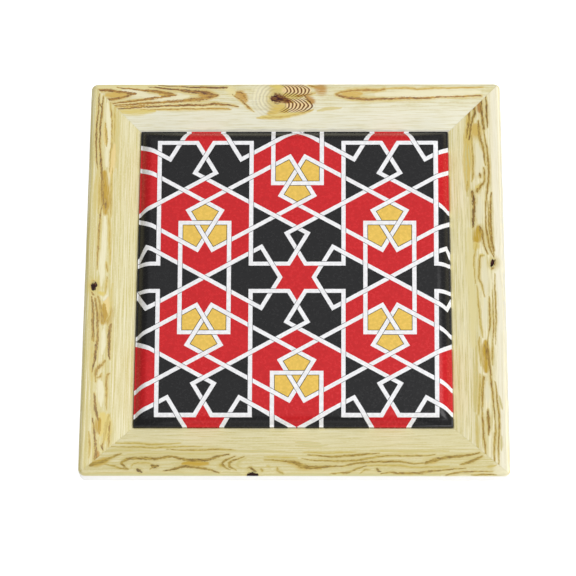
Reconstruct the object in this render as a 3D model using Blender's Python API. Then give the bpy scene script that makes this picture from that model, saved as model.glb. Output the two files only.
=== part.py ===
"""A square ceramic coaster: a glazed tile with a cushioned edge, bedded in a white tray whose rim slopes
in to it and carries four mitred wood-grain border strips, on a stuck-on cork pad. Metres, +Z up,
standing on z = 0."""

import math

import bmesh
import bpy

MM = 0.001

# Clearances between neighbouring pieces
GLUE_LINE = 0.3 * MM
TILE_CLEARANCE = 0.3 * MM
MITRE_GAP = 0.3 * MM

# Tile: a flat top that rolls down over a bevel to a narrow level lip, whose edge stands above the border
TILE_SIDE = 75.0 * MM
TILE_LIP_THICKNESS = 1.9 * MM
TILE_LIP_REVEAL = 0.7 * MM
TILE_LIP_WIDTH = 0.4 * MM
TILE_BEVEL_WIDTH = 2.9 * MM
TILE_CROWN = 2.0 * MM
TILE_LIP_CORNER = 0.4 * MM
TILE_TOP_CORNER = 1.2 * MM
BEVEL_COVE_SHARE = 0.15
BEVEL_STEPS = 10

# Border strips: facings that slope in to the tile, rounded where they meet the outside
STRIP_WIDTH = 12.2 * MM
STRIP_THICKNESS = 1.2 * MM
STRIP_OUTER_ROUND = 1.0 * MM
STRIP_INNER_EASE = 0.2 * MM
STRIP_INNER_CORNER = 0.2 * MM
MOST_ROUND_SHARE = 0.9  # of the wall that a round is cut in

# Tray: a floor under the tile and a sloping rim under the strips
TRAY_FLOOR = 1.0 * MM
TRAY_RIM_DROP = 2.8 * MM
TRAY_CORNER = 1.6 * MM
TRAY_FOOT_ROUND = 1.2 * MM

# Adhesive bed under the tile
BED_THICKNESS = 0.4 * MM
BED_MARGIN = 4.0 * MM
BED_CORNER = 3.0 * MM

# Cork pad and the adhesive sheet that holds it
CORK_THICKNESS = 1.0 * MM
CORK_INSET = 2.5 * MM
CORK_CORNER = 3.0 * MM
CORK_FOOT_ROUND = 0.2 * MM
SHEET_THICKNESS = 0.2 * MM
SHEET_MARGIN = 0.5 * MM

# Mesh detail
CORNER_STEPS = 6
ROUND_STEPS = 5
SHARP_ANGLE = math.radians(30)

# Sizes and heights that follow from the ones above
POCKET_HALF = TILE_SIDE / 2 + TILE_CLEARANCE
POCKET_CORNER = TILE_LIP_CORNER + TILE_CLEARANCE
COASTER_HALF = POCKET_HALF + STRIP_WIDTH
CORK_HALF = COASTER_HALF - CORK_INSET
TILE_SINK = TILE_LIP_THICKNESS - TILE_LIP_REVEAL
POCKET_DEPTH = GLUE_LINE + BED_THICKNESS + GLUE_LINE + TILE_SINK - STRIP_THICKNESS - GLUE_LINE
TRAY_HEIGHT = TRAY_FLOOR + POCKET_DEPTH + TRAY_RIM_DROP
SHEET_Z = CORK_THICKNESS + GLUE_LINE
TRAY_Z = SHEET_Z + SHEET_THICKNESS + GLUE_LINE
BED_Z = TRAY_Z + TRAY_FLOOR + GLUE_LINE
TILE_Z = BED_Z + BED_THICKNESS + GLUE_LINE
STRIP_Z = TRAY_Z + TRAY_HEIGHT + GLUE_LINE


def clear_scene():
    for obj in list(bpy.data.objects):
        bpy.data.objects.remove(obj, do_unlink=True)


def make_material(name, colour, roughness):
    material = bpy.data.materials.new(name)
    material.use_nodes = True
    shader = material.node_tree.nodes["Principled BSDF"]
    shader.inputs["Base Color"].default_value = (*colour, 1.0)
    shader.inputs["Roughness"].default_value = roughness
    shader.inputs["Metallic"].default_value = 0.0
    return material


def rounded_square(half, corner, z):
    """Points round a square of half-side half with rounded corners, counter-clockwise, at height z."""
    points = []
    for quarter in range(4):
        turn = quarter * math.pi / 2
        centre_x = (half - corner) * math.copysign(1, math.cos(turn + math.pi / 4))
        centre_y = (half - corner) * math.copysign(1, math.sin(turn + math.pi / 4))
        for step in range(CORNER_STEPS + 1):
            angle = turn + step / CORNER_STEPS * math.pi / 2
            points.append((centre_x + corner * math.cos(angle), centre_y + corner * math.sin(angle), z))
    return points


def add_bands(bm, rings):
    """Quads between each ring of vertices and the next."""
    for lower, upper in zip(rings, rings[1:]):
        count = len(lower)
        for i in range(count):
            j = (i + 1) % count
            bm.faces.new((lower[i], lower[j], upper[j], upper[i]))


def finish_mesh(name, bm, material):
    bmesh.ops.recalc_face_normals(bm, faces=bm.faces)
    mesh = bpy.data.meshes.new(name)
    bm.to_mesh(mesh)
    bm.free()
    mesh.materials.append(material)
    mesh.shade_smooth()
    mesh.set_sharp_from_angle(angle=SHARP_ANGLE)
    return mesh


def loft(name, sections, material):
    """A closed solid through (half-side, corner radius, z) sections, capped at its first and last one."""
    bm = bmesh.new()
    rings = [[bm.verts.new(point) for point in rounded_square(*section)] for section in sections]
    add_bands(bm, rings)
    bm.faces.new(rings[0])
    bm.faces.new(rings[-1])
    return finish_mesh(name, bm, material)


def place(name, mesh, parent, z, turn=0.0):
    obj = bpy.data.objects.new(name, mesh)
    obj.parent = parent
    obj.location = (0.0, 0.0, z)
    obj.rotation_euler = (0.0, 0.0, turn)
    bpy.context.scene.collection.objects.link(obj)
    return obj


def foot_sections(half, corner, foot_round):
    """Sections of a bottom edge rounded by foot_round, from the resting face up to the side."""
    sections = []
    for step in range(ROUND_STEPS + 1):
        angle = step / ROUND_STEPS * math.pi / 2
        inset = foot_round * (1 - math.sin(angle))
        sections.append((half - inset, corner, foot_round * (1 - math.cos(angle))))
    return sections


def bevel_height(share):
    """Height of the tile's bevel, as a share of its crown: a cove off the lip, then a longer round."""
    if share < BEVEL_COVE_SHARE:
        return share**2 / BEVEL_COVE_SHARE
    return 1 - (1 - share) ** 2 / (1 - BEVEL_COVE_SHARE)


def make_cork_pad(parent):
    cork = make_material("cork", (0.42, 0.24, 0.11), 0.9)
    sections = foot_sections(CORK_HALF, CORK_CORNER, CORK_FOOT_ROUND)
    sections.append((CORK_HALF, CORK_CORNER, CORK_THICKNESS))
    return place("cork_pad", loft("cork_pad", sections, cork), parent, 0.0)


def make_cork_adhesive(parent):
    adhesive = make_material("adhesive_sheet", (0.75, 0.72, 0.62), 0.5)
    half = CORK_HALF - SHEET_MARGIN
    sections = [(half, CORK_CORNER, 0.0), (half, CORK_CORNER, SHEET_THICKNESS)]
    return place("cork_adhesive", loft("cork_adhesive", sections, adhesive), parent, SHEET_Z)


def make_tray(parent):
    white_glaze = make_material("white_glaze", (0.86, 0.85, 0.82), 0.3)
    sections = foot_sections(COASTER_HALF, TRAY_CORNER, TRAY_FOOT_ROUND)
    sections += [
        (COASTER_HALF, TRAY_CORNER, TRAY_HEIGHT),
        (POCKET_HALF, POCKET_CORNER, TRAY_HEIGHT - TRAY_RIM_DROP),
        (POCKET_HALF, POCKET_CORNER, TRAY_FLOOR),
    ]
    return place("white_tray", loft("white_tray", sections, white_glaze), parent, TRAY_Z)


def make_tile_bed(parent):
    mastic = make_material("mastic", (0.62, 0.60, 0.55), 0.7)
    half = TILE_SIDE / 2 - BED_MARGIN
    sections = [(half, BED_CORNER, 0.0), (half, BED_CORNER, BED_THICKNESS)]
    return place("tile_bed", loft("tile_bed", sections, mastic), parent, BED_Z)


def make_tile(parent):
    printed_glaze = make_material("printed_glaze", (0.55, 0.03, 0.04), 0.2)
    half = TILE_SIDE / 2
    bevel_foot = half - TILE_LIP_WIDTH
    sections = [(half, TILE_LIP_CORNER, 0.0), (half, TILE_LIP_CORNER, TILE_LIP_THICKNESS)]
    for step in range(BEVEL_STEPS + 1):
        share = step / BEVEL_STEPS
        corner = TILE_LIP_CORNER + share * (TILE_TOP_CORNER - TILE_LIP_CORNER)
        height = TILE_LIP_THICKNESS + TILE_CROWN * bevel_height(share)
        sections.append((bevel_foot - TILE_BEVEL_WIDTH * share, corner, height))
    return place("ceramic_tile", loft("ceramic_tile", sections, printed_glaze), parent, TILE_Z)


def rim_fall(inset):
    """How far the tray's rim has fallen at an inset from the outside."""
    return TRAY_RIM_DROP * inset / STRIP_WIDTH


def strip_profile():
    """(inset from the outside, height) points round a strip's cross-section, starting at its outer foot."""
    outer_round = min(STRIP_OUTER_ROUND, MOST_ROUND_SHARE * STRIP_THICKNESS)
    side_top = STRIP_THICKNESS - outer_round
    round_rise = outer_round - rim_fall(outer_round)
    points = [(0.0, 0.0)]
    for step in range(ROUND_STEPS + 1):
        angle = step / ROUND_STEPS * math.pi / 2
        points.append((outer_round * (1 - math.cos(angle)), side_top + round_rise * math.sin(angle)))
    eased = STRIP_WIDTH - STRIP_INNER_EASE
    points.append((eased, STRIP_THICKNESS - rim_fall(eased)))
    points.append((STRIP_WIDTH, STRIP_THICKNESS - rim_fall(STRIP_WIDTH) - STRIP_INNER_EASE))
    points.append((STRIP_WIDTH, -rim_fall(STRIP_WIDTH)))
    return points


def strip_mesh(material):
    """The front strip: a border ring cut along the two mitres at its ends."""
    bm = bmesh.new()
    rings = []
    for inset, height in strip_profile():
        corner = max(TRAY_CORNER - inset, STRIP_INNER_CORNER)
        rings.append([bm.verts.new(point) for point in rounded_square(COASTER_HALF - inset, corner, height)])
    add_bands(bm, rings + rings[:1])
    for side in (-1, 1):
        into_strip = (side / math.sqrt(2), -1 / math.sqrt(2), 0.0)
        on_mitre = tuple(MITRE_GAP / 2 * part for part in into_strip)
        bmesh.ops.bisect_plane(
            bm,
            geom=bm.verts[:] + bm.edges[:] + bm.faces[:],
            plane_co=on_mitre,
            plane_no=into_strip,
            clear_inner=True,
        )
    bmesh.ops.holes_fill(bm, edges=[edge for edge in bm.edges if edge.is_boundary])
    return finish_mesh("border_strip", bm, material)


def make_border_strips(parent):
    mesh = strip_mesh(make_material("wood_grain", (0.78, 0.71, 0.44), 0.5))
    names = ("front_border_strip", "right_border_strip", "back_border_strip", "left_border_strip")
    for quarter, name in enumerate(names):
        place(name, mesh, parent, STRIP_Z, quarter * math.pi / 2)


def main():
    clear_scene()
    coaster = bpy.data.objects.new("coaster", None)
    bpy.context.scene.collection.objects.link(coaster)
    make_cork_pad(coaster)
    make_cork_adhesive(coaster)
    make_tray(coaster)
    make_tile_bed(coaster)
    make_tile(coaster)
    make_border_strips(coaster)


main()
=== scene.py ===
import math

import bmesh
import bpy
import numpy as np
from mathutils import Matrix, Vector
from mathutils.geometry import delaunay_2d_cdt


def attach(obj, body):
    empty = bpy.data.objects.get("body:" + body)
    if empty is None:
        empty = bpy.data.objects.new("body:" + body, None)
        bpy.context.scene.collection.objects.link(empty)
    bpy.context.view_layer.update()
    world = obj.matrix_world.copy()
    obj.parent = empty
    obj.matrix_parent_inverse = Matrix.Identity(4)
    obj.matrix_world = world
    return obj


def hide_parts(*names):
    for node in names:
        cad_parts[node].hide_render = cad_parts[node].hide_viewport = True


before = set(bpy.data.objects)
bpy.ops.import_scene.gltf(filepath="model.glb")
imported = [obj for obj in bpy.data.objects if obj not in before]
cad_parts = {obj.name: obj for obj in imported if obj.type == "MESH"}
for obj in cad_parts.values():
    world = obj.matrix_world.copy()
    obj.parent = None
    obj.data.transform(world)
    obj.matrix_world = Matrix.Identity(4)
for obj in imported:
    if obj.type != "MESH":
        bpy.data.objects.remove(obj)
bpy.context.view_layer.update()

MM = 0.001

# Camera, from the photograph's own perspective
IMAGE_SIDE = 576
FOCAL_PIXELS = 2545.5
SENSOR_MM = 36.0
CAMERA_AZIMUTH = math.radians(2.18)
CAMERA_ELEVATION = math.radians(68.75)
CAMERA_ROLL = math.radians(-2.03)
CAMERA_DISTANCE = 603.2 * MM
CAMERA_TARGET = Vector((-1.64, -3.88, 7.8)) * MM
CAMERA_NEAREST = 10.0 * MM

# Sizes that the part shares, in metres
COASTER_HALF = 50.0 * MM
COASTER_CORNER = 1.6 * MM
POCKET_HALF = 37.8 * MM
POCKET_CORNER = 0.7 * MM
STRIP_WIDTHS = {"front": 12.2 * MM, "right": 12.97 * MM, "back": 12.2 * MM, "left": 12.39 * MM}
STRIP_THICKNESS = 1.2 * MM
STRIP_ROUND = 1.0 * MM
STRIP_EASE = 0.2 * MM
STRIP_INNER_CORNER = 0.2 * MM
STRIP_FOOT = 6.6 * MM
RIM_DROP = 2.8 * MM
TRAY_FOOT = 1.8 * MM
TRAY_FLOOR_TOP = 2.8 * MM
TRAY_FOOT_ROUND = 1.2 * MM
CORK_HALF = 47.5 * MM
CORK_CORNER = 3.0 * MM
CORK_ROUND = 0.2 * MM
SHEET_FOOT = 1.3 * MM
SHEET_HALF = 47.0 * MM
MITRE_GAP = 0.04 * MM
HAIR_GAP = 0.03 * MM

# The tile, set a little to the left: its edge rolls down to a low wall that stands above the border
TILE_OFFSET = -0.29 * MM
TILE_HALF = np.array([37.27, 37.77]) * MM
TILE_FOOT = 3.8 * MM
TILE_LIP_TOP = 5.7 * MM
TILE_CROWN = 2.0 * MM
TILE_LIP_WIDTH = 0.15 * MM
TILE_BEVEL_WIDTH = 3.2 * MM
BEVEL_COVE_SHARE = 0.1
BEVEL_RINGS = 16
ROLL_STEPS = 400
CUT_TOLERANCE = 1e-5  # millimetres
CORNER_SOFTNESS = 0.25 * MM
FLAT_HALF = TILE_HALF - TILE_LIP_WIDTH - TILE_BEVEL_WIDTH

# The strapwork: stars on a triangular lattice, in units of the star spacing
PITCH = 44.05 * MM
LATTICE_ROWS = 3
LATTICE_COLUMNS = 4
FOLD_REACH = 2.6
PARALLEL = 1e-6  # sine of the angle below which straps don't cross
STAR_RADIUS = 0.0911
SHORT_STRAP = (0.5 - STAR_RADIUS) / 2
BOX_HALF_WIDTH = 0.132
BOX_HALF_LENGTH = 0.3173
BOX_REACH = 0.95
STRAP_WIDTH = 0.0226
OUTLINE_WIDTH = 0.0035
BIG_STAR_APOTHEM = 0.25
PRINT_SHIFT = (0.79 * MM, -1.10 * MM)
PRINT_TAPER = 0.0127
ROLL_STRETCH = {"left": 1.38, "right": 1.15, "front": 1.07, "back": 1.18}

# Inks of the print, in linear light
INKS = {
    "white": (0.84, 0.84, 0.855),
    "red": (0.575, 0.0180, 0.0225),
    "black": (0.0170, 0.0170, 0.0182),
    "gold": (0.772, 0.512, 0.100),
    "line": (0.20, 0.20, 0.215),
    "edge": (0.040, 0.026, 0.012),
}

# The mesh that carries the wood figure, and how far a stroke reaches, in its own widths
ROW_STEP = 0.15 * MM
COLUMNS = 330
HALO = {"line": 2.8, "stain_and_shade": 2.2}
LINE_END = 0.4
LEFT_MITRE = math.radians(225)
RIGHT_MITRE = math.radians(315)
GRAIN_SPACING = 40.0  # keeps the strips apart in the grain noise

# Small waves that keep the grain lines from running true, as (height, rate along, rate across, start)
ALONG_WAVES = (0.10, 0.6, 1.3, 0.0), (0.06, -0.8, 4.7, 0.0)
ACROSS_WAVES = (0.04, 1.1, 0.9, 0.0), (0.03, 2.7, -2.1, 1.0)

# The back strip's knot: its centre, and its two fans as (middle inset, ring spacing, reach, first ring)
KNOT = (-4.1, 3.75)
UPPER_FAN = (1.9, 0.86, 8.4, 2.4)
LOWER_FAN = (5.5, 0.92, 9.2, 1.9)
FAN_SEAM = 3.6
FAN_BOW = 0.75
FAN_START = 1.5
FAN_HALF_HEIGHT = 1.95
FAN_END_FADE = 0.8
FAN_SIDE_FADE = 0.4

# The faint rings on the knot's other side
RING_SPACING = 0.9
RING_SQUASH = 1.2
RING_DEPTH = 0.2
RING_START = 1.6
RING_REACH = 7.5
RING_END_FADE = 3.0
RING_SIDE_FADE = 2.0

# The strips at each strip's left and right end, as seen from outside
STRIP_ENDS = {
    "front": ("left", "right"), "right": ("front", "back"),
    "back": ("right", "left"), "left": ("back", "front"),
}

# How far each strip's figure is shifted along it and in from its outside, in millimetres
FIGURE_SHIFTS = {"front": (0.29, 0), "right": (0, -0.29), "back": (0.29, 0), "left": (0, 0.29)}

# How pale each strip is, from olive at 0 to cream at 1, at insets in millimetres. Mostly the wood's own
# tone, but the dark values near the left strip's outside and the pale ones near the right strip's outside
# are painted shade and painted light on the outer round, lit from the right
PALENESS = {
    "front": ((0, 0.4), (0.8, 0.36), (2.5, 0.33), (6.5, 0.46), (10.5, 0.5), (12, 0.5)),
    # Right: the pale start is painted light on the outer round, over the wood's tone
    "right": (
        (0, 0.72), (0.6, 0.92), (1.6, 0.96), (3.2, 0.74), (5.5, 0.78), (7.3, 0.46), (9.5, 0.64), (12, 0.44),
    ),
    "back": ((0, 0.75), (1.5, 0.48), (4.5, 0.7), (7.5, 0.8), (12, 0.8)),
    # Left: the dark values from 0.8 to 1.6 mm are painted shade on the outer round, over the wood's tone
    "left": ((0, 0.4), (0.8, 0.06), (1.6, 0.04), (4.4, 0.46), (6.5, 0.24), (9.5, 0.48), (12, 0.36)),
}

# Wood colours by paleness, as a screen shows them
PALE_STOPS = (0.0, 0.4, 0.75, 1.0)
PLAIN_TONES = (200, 187, 124), (216, 206, 155), (228, 222, 188), (240, 237, 224)
WARM_TONES = (200, 187, 124), (220, 209, 156), (240, 231, 190), (248, 243, 222)
GREY_TONES = (200, 187, 124), (214, 205, 156), (224, 221, 196), (236, 234, 224)
BASE_TONES = {"front": PLAIN_TONES, "right": WARM_TONES, "back": GREY_TONES, "left": PLAIN_TONES}

# Colours of grain lines, their halos, and stains and painted shade; a line's is (tone, in olive wood, in
# orange wood). Stain tone 0.03 is the grey of painted shade, 0.02 a paler grey for the right strip's outer
# edge
LINE_TONES = (
    (0.0, (206, 202, 152), (206, 200, 150)), (0.15, (202, 183, 100), (206, 178, 92)),
    (0.3, (180, 156, 74), (190, 146, 60)), (0.45, (156, 128, 54), (168, 118, 44)),
    (0.6, (126, 102, 46), (140, 92, 38)), (0.75, (98, 76, 40), (108, 68, 36)),
    (0.9, (90, 40, 46), (92, 30, 46)), (1.0, (40, 21, 20), (44, 20, 20)),
)
HALO_TONES = (206, 191, 126), (208, 182, 92)
STAIN_AND_SHADE_TONES = (
    (0.0, (229, 222, 186)), (0.02, (218, 215, 199)), (0.03, (188, 185, 172)), (0.05, (224, 212, 152)),
    (0.08, (232, 203, 150)), (0.12, (214, 194, 106)), (0.3, (204, 170, 78)), (0.36, (188, 152, 16)),
    (0.4, (176, 137, 8)), (0.45, (190, 146, 56)), (0.6, (164, 108, 50)), (0.8, (118, 44, 50)),
    (1.0, (44, 22, 22)),
)

# How warm each strip's grain lines are, from olive at 0 to orange at 1
WARMTH = {"front": 0.0, "right": 0.25, "back": 0.7, "left": 0.25}

# Colours inside the bare wood, and how strong its long streaks are
STREAK_TONE = (197, 185, 116)
DULL_TONE = (199, 185, 108)
BRIGHT_TONE = (238, 233, 208)
FLECK_TONE = (236, 232, 205)
CONTOUR_TONE = (195, 174, 98)
RING_TONE = (104, 60, 22)
LONG_STREAKS = {"front": 0.5, "right": 1.0, "back": 0.3, "left": 1.0}

# The wood's noises as (scale along the grain, scale across it, detail, roughness), per millimetre
FIBRE = (0.16, 2.8, 4.0, 0.62)
SPECKLE = (1.8, 4.6, 3.0, 0.65)
LONG_STREAK = (0.06, 3.6, 2.0, 0.6)
THREAD = (0.35, 5.5, 3.0, 0.6)
LINE_DEPTH = (0.7, 3.0, 2.0, 0.5)
SWIRL = (0.05, 0.25, 1.0, 0.5)
CONTOUR_SWIRL = 16.0
CONTOUR_RATE = 6.0

# Scales of the other finishes' noises, per metre
INK_GRAIN = 1500.0
GLAZE_GRAIN = 1800.0
CORK_GRAINS = 620.0
CORK_GRIT = 2400.0
FILM_STREAKS = (900.0, 90.0, 900.0)
MASTIC_COMB = (60.0, 420.0, 420.0)
MASTIC_GRIT = 3000.0
FLOOR_CLOUDS = 3.0

# Where a noise's values mostly lie
NOISE_RANGE = (0.3, 0.7)

# Sockets of a Mix node that blends colours
MIX_INPUTS = (0, 6, 7)
MIX_RESULT = 2

# The studio: soft panel lights as (name, place, size, radiance), in metres
LIGHTS = (
    ("overhead", (0.0, 0.25, 1.0), (1.6, 1.6), 0.52),
    ("back", (0.0, 1.1, 0.5), (1.6, 0.8), 0.12),
    ("key", (0.55, -0.05, 0.95), (0.8, 0.8), 5.15),
    ("front_high", (0.0, -0.70, 1.0), (1.7, 0.2), 1.1),
    ("front_low", (0.0, -1.1, 0.33), (2.2, 0.2), 1.3),
)
SKY_STRENGTH = 0.115
FLOOR_HALF = 3.0

# Mesh detail
SHARP_ANGLE = math.radians(30)
CORNER_STEPS = 10
ROUND_STEPS = 8
CURVE_STEPS = 8
PRINT_CHUNK = 4000


def unit(degrees):
    return np.array([math.cos(math.radians(degrees)), math.sin(math.radians(degrees))])


def lattice_stars(reach):
    """Centres of the stars within reach of the middle."""
    stars = []
    for row in range(-LATTICE_ROWS, LATTICE_ROWS + 1):
        for column in range(-LATTICE_COLUMNS, LATTICE_COLUMNS + 1):
            star = np.array([column + row / 2, row * math.sqrt(3) / 2])
            if np.abs(star).max() < reach:
                stars.append(star)
    return stars


def strap_loops(reach):
    """The closed straps: a bow-tie and a box round every lattice edge near the tile."""
    corner = STAR_RADIUS + SHORT_STRAP / 2 - 0.5, SHORT_STRAP * math.sqrt(3) / 2
    tip = STAR_RADIUS - 0.5
    bow_tie = [(tip, 0), corner, (-corner[0], -corner[1]), (-tip, 0), (-corner[0], corner[1])]
    bow_tie.append((corner[0], -corner[1]))
    box = [(-BOX_HALF_WIDTH, -BOX_HALF_LENGTH), (BOX_HALF_WIDTH, -BOX_HALF_LENGTH)]
    box += [(BOX_HALF_WIDTH, BOX_HALF_LENGTH), (-BOX_HALF_WIDTH, BOX_HALF_LENGTH)]
    loops = []
    for star in lattice_stars(reach + 1):
        for degrees in (0, 60, 120):
            middle = star + 0.5 * unit(degrees)
            if np.abs(middle).max() > reach:
                continue
            shapes = (bow_tie,) if abs(middle[0]) > BOX_REACH else (bow_tie, box)
            for shape in shapes:
                points = [middle + u * unit(degrees) + v * unit(degrees + 90) for u, v in shape]
                loops.append(np.array(points))
    return loops


def across(vector):
    return np.array([-vector[1], vector[0]])


def offset_loop(loop, distance):
    """The loop moved sideways by distance, with mitred corners."""
    count = len(loop)
    ways = [loop[(i + 1) % count] - loop[i] for i in range(count)]
    sides = [across(way / np.linalg.norm(way)) for way in ways]
    moved = []
    for i in range(count):
        before, after = sides[i - 1], sides[i]
        moved.append(loop[i] + distance * (before + after) / (1 + before @ after))
    return np.array(moved)


class Segments:
    """Every straight run of every strap, as arrays."""

    def __init__(self, loops):
        starts, ways, lengths, spans, owner = [], [], [], [], []
        for number, loop in enumerate(loops):
            count = len(loop)
            run = [loop[(i + 1) % count] - loop[i] for i in range(count)]
            size = [np.linalg.norm(way) for way in run]
            run = [way / length for way, length in zip(run, size)]
            turn = [math.acos(np.clip(run[i - 1] @ run[i], -1, 1)) for i in range(count)]
            reach = [STRAP_WIDTH / 2 * math.tan(angle / 2) for angle in turn]
            for i in range(count):
                starts.append(loop[i])
                ways.append(run[i])
                lengths.append(size[i])
                spans.append((-reach[i], size[i] + reach[(i + 1) % count]))
                owner.append((number, i, count))
        self.starts, self.ways = np.array(starts), np.array(ways)
        self.lengths, self.spans = np.array(lengths), np.array(spans)
        self.sides = np.stack([-self.ways[:, 1], self.ways[:, 0]], 1)
        self.owner = owner

    def measure(self, points):
        """For each point and segment: how far along, and how far off the centre line."""
        offset = points[:, None, :] - self.starts[None]
        return (offset * self.ways).sum(2), np.abs((offset * self.sides).sum(2))


def inside_count(loops, point):
    """How many loops hold the point, by the even-odd rule."""
    total = 0
    for loop in loops:
        after = np.roll(loop, -1, axis=0)
        spans = (loop[:, 1] > point[1]) != (after[:, 1] > point[1])
        rise = np.where(spans, after[:, 1] - loop[:, 1], 1.0)
        cut = loop[:, 0] + (point[1] - loop[:, 1]) / rise * (after[:, 0] - loop[:, 0])
        total += int((spans & (cut > point[0])).sum() % 2)
    return total


def weave(loops, segments):
    """over[s, t] is True where segment s passes over segment t: straps go over and under by turns."""
    count = len(segments.owner)
    over = np.zeros((count, count), bool)
    nudge = STRAP_WIDTH / 4
    for s in range(count):
        for t in range(s + 1, count):
            loop_s, place_s, size = segments.owner[s]
            loop_t, place_t, _ = segments.owner[t]
            if loop_s == loop_t and (place_t - place_s) % size in (1, size - 1):
                continue
            cross = segments.ways[s] @ -across(segments.ways[t])
            if abs(cross) < PARALLEL:
                continue
            gap = segments.starts[t] - segments.starts[s]
            along_s = gap @ -across(segments.ways[t]) / cross
            along_t = gap @ -across(segments.ways[s]) / cross
            if not (0 < along_s < segments.lengths[s] and 0 < along_t < segments.lengths[t]):
                continue
            place = segments.starts[s] + along_s * segments.ways[s]
            other = segments.ways[t] * math.copysign(1, cross)
            sector = place + nudge * (segments.ways[s] + other)
            s_over = inside_count(loops, sector) % 2 == 0
            over[s, t], over[t, s] = s_over, not s_over
    return over


def fold_to_star(points):
    """Each point relative to its nearest star."""
    best = np.full(len(points), np.inf)
    folded = np.zeros_like(points)
    for star in lattice_stars(FOLD_REACH):
        offset = points - star
        distance = (offset**2).sum(1)
        nearer = distance < best
        best[nearer], folded[nearer] = distance[nearer], offset[nearer]
    return folded


def in_hexagram(points, apothem, first):
    one = np.ones(len(points), bool)
    two = one.copy()
    for turn in (0, 120, 240):
        height = points @ unit(first + turn)
        one &= height < apothem
        two &= -height < apothem
    return one | two


def fills(points):
    """The ink between the straps at each point."""
    folded = fold_to_star(points)
    held = np.zeros(len(points), int)
    for degrees in range(0, 360, 60):
        offset = folded - 0.5 * unit(degrees)
        u, v = np.abs(offset @ unit(degrees)), np.abs(offset @ unit(degrees + 90))
        held += (u < BOX_HALF_WIDTH) & (v < BOX_HALF_LENGTH)
    ink = np.where(in_hexagram(folded, BIG_STAR_APOTHEM, 0), "black", "red")
    ink = np.where(in_hexagram(folded, STAR_RADIUS * math.sqrt(3) / 2, 30), "red", ink)
    return np.where(held >= 2, "gold", ink)


def inks_at(points, loops):
    """The ink at each point: straps over fills, with thin lines round gold and where straps cross."""
    segments = Segments(loops)
    over = weave(loops, segments)
    ink = fills(points)
    half = STRAP_WIDTH / 2
    for first in range(0, len(points), PRINT_CHUNK):
        part = slice(first, first + PRINT_CHUNK)
        along, off = segments.measure(points[part])
        within = (along > segments.spans[:, 0]) & (along < segments.spans[:, 1])
        on_strap = within & (off < half)
        on_line = within & (off >= half) & (off < half + OUTLINE_WIDTH)
        strap = on_strap.any(1)
        lined = ((on_line @ over.astype(np.int32)) * on_strap).any(1)
        beside_gold = on_line.any(1) & (ink[part] == "gold") & ~strap
        ink[part] = np.where(strap, "white", ink[part])
        ink[part] = np.where(lined & strap, "line", ink[part])
        ink[part] = np.where(beside_gold, "edge", ink[part])
    return ink


def print_to_sheet(points):
    """Strapwork units to metres on the flat print, centred on the tile."""
    x, y = points[:, 0], points[:, 1]
    grow = 1 + PRINT_TAPER * y
    return np.stack([PRINT_SHIFT[0] + PITCH * x * grow, PRINT_SHIFT[1] + PITCH * y * grow], 1)


def sheet_to_print(points):
    x, y = (points[:, 0] - PRINT_SHIFT[0]) / PITCH, (points[:, 1] - PRINT_SHIFT[1]) / PITCH
    y = (np.sqrt(1 + 4 * PRINT_TAPER * y) - 1) / (2 * PRINT_TAPER)
    return np.stack([x / (1 + PRINT_TAPER * y), y], 1)


def roll_lengths():
    """(distance out from the flat, length over the surface) at steps down the rolled edge to its rim."""
    rim = TILE_LIP_WIDTH + TILE_BEVEL_WIDTH
    out = np.linspace(0, rim, ROLL_STEPS + 1)
    middle = (out[1:] + out[:-1]) / 2
    shares = np.clip(1 - middle / TILE_BEVEL_WIDTH, 0, 1)
    slopes = np.array([bevel_slope(share) for share in shares]) * TILE_CROWN / TILE_BEVEL_WIDTH
    return out, np.concatenate([[0], np.cumsum(np.hypot(1, slopes) * rim / ROLL_STEPS)])


def roll_stretch(points):
    """How far the print is stretched along x and y where it is drawn down over the rolled edge."""
    along_x = np.where(points[:, 0] < 0, ROLL_STRETCH["left"], ROLL_STRETCH["right"])
    along_y = np.where(points[:, 1] < 0, ROLL_STRETCH["front"], ROLL_STRETCH["back"])
    return np.column_stack([along_x, along_y])


def sheet_to_plan(sheet):
    """Where points of the flat print lie on the tile, seen from above."""
    out, lengths = roll_lengths()
    beyond = np.maximum(np.abs(sheet) - FLAT_HALF, 0.0)
    drawn = np.interp(beyond * roll_stretch(sheet), lengths, out)
    return np.sign(sheet) * (np.minimum(np.abs(sheet), FLAT_HALF) + drawn)


def bevel_height(share):
    """Height of the tile's bevel, as a share of its crown: a small cove off the lip, then a long round."""
    if share < BEVEL_COVE_SHARE:
        return share**2 / BEVEL_COVE_SHARE
    return 1 - (1 - share) ** 2 / (1 - BEVEL_COVE_SHARE)


def bevel_slope(share):
    if share < BEVEL_COVE_SHARE:
        return 2 * share / BEVEL_COVE_SHARE
    return 2 * (1 - share) / (1 - BEVEL_COVE_SHARE)


def tile_surface(x, y):
    """(height, normal) of the tile's top over a plan point."""
    inset_x, inset_y = TILE_HALF - np.abs((x, y))
    share = np.clip((min(inset_x, inset_y) - TILE_LIP_WIDTH) / TILE_BEVEL_WIDTH, 0.0, 1.0)
    slope = bevel_slope(share) * TILE_CROWN / TILE_BEVEL_WIDTH
    sideways = 0.5 + 0.5 * math.tanh((inset_y - inset_x) / CORNER_SOFTNESS)
    lean = (math.copysign(slope * sideways, x), math.copysign(slope * (1 - sideways), y), 1.0)
    return TILE_LIP_TOP + TILE_CROWN * bevel_height(share), Vector(lean).normalized()


def smooth_mesh(name, bm):
    bmesh.ops.recalc_face_normals(bm, faces=bm.faces)
    mesh = bpy.data.meshes.new(name)
    bm.to_mesh(mesh)
    bm.free()
    mesh.shade_smooth()
    return mesh


def new_piece(name, mesh, materials):
    for material in materials:
        mesh.materials.append(material)
    obj = bpy.data.objects.new(name, mesh)
    bpy.context.scene.collection.objects.link(obj)
    return obj


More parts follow.
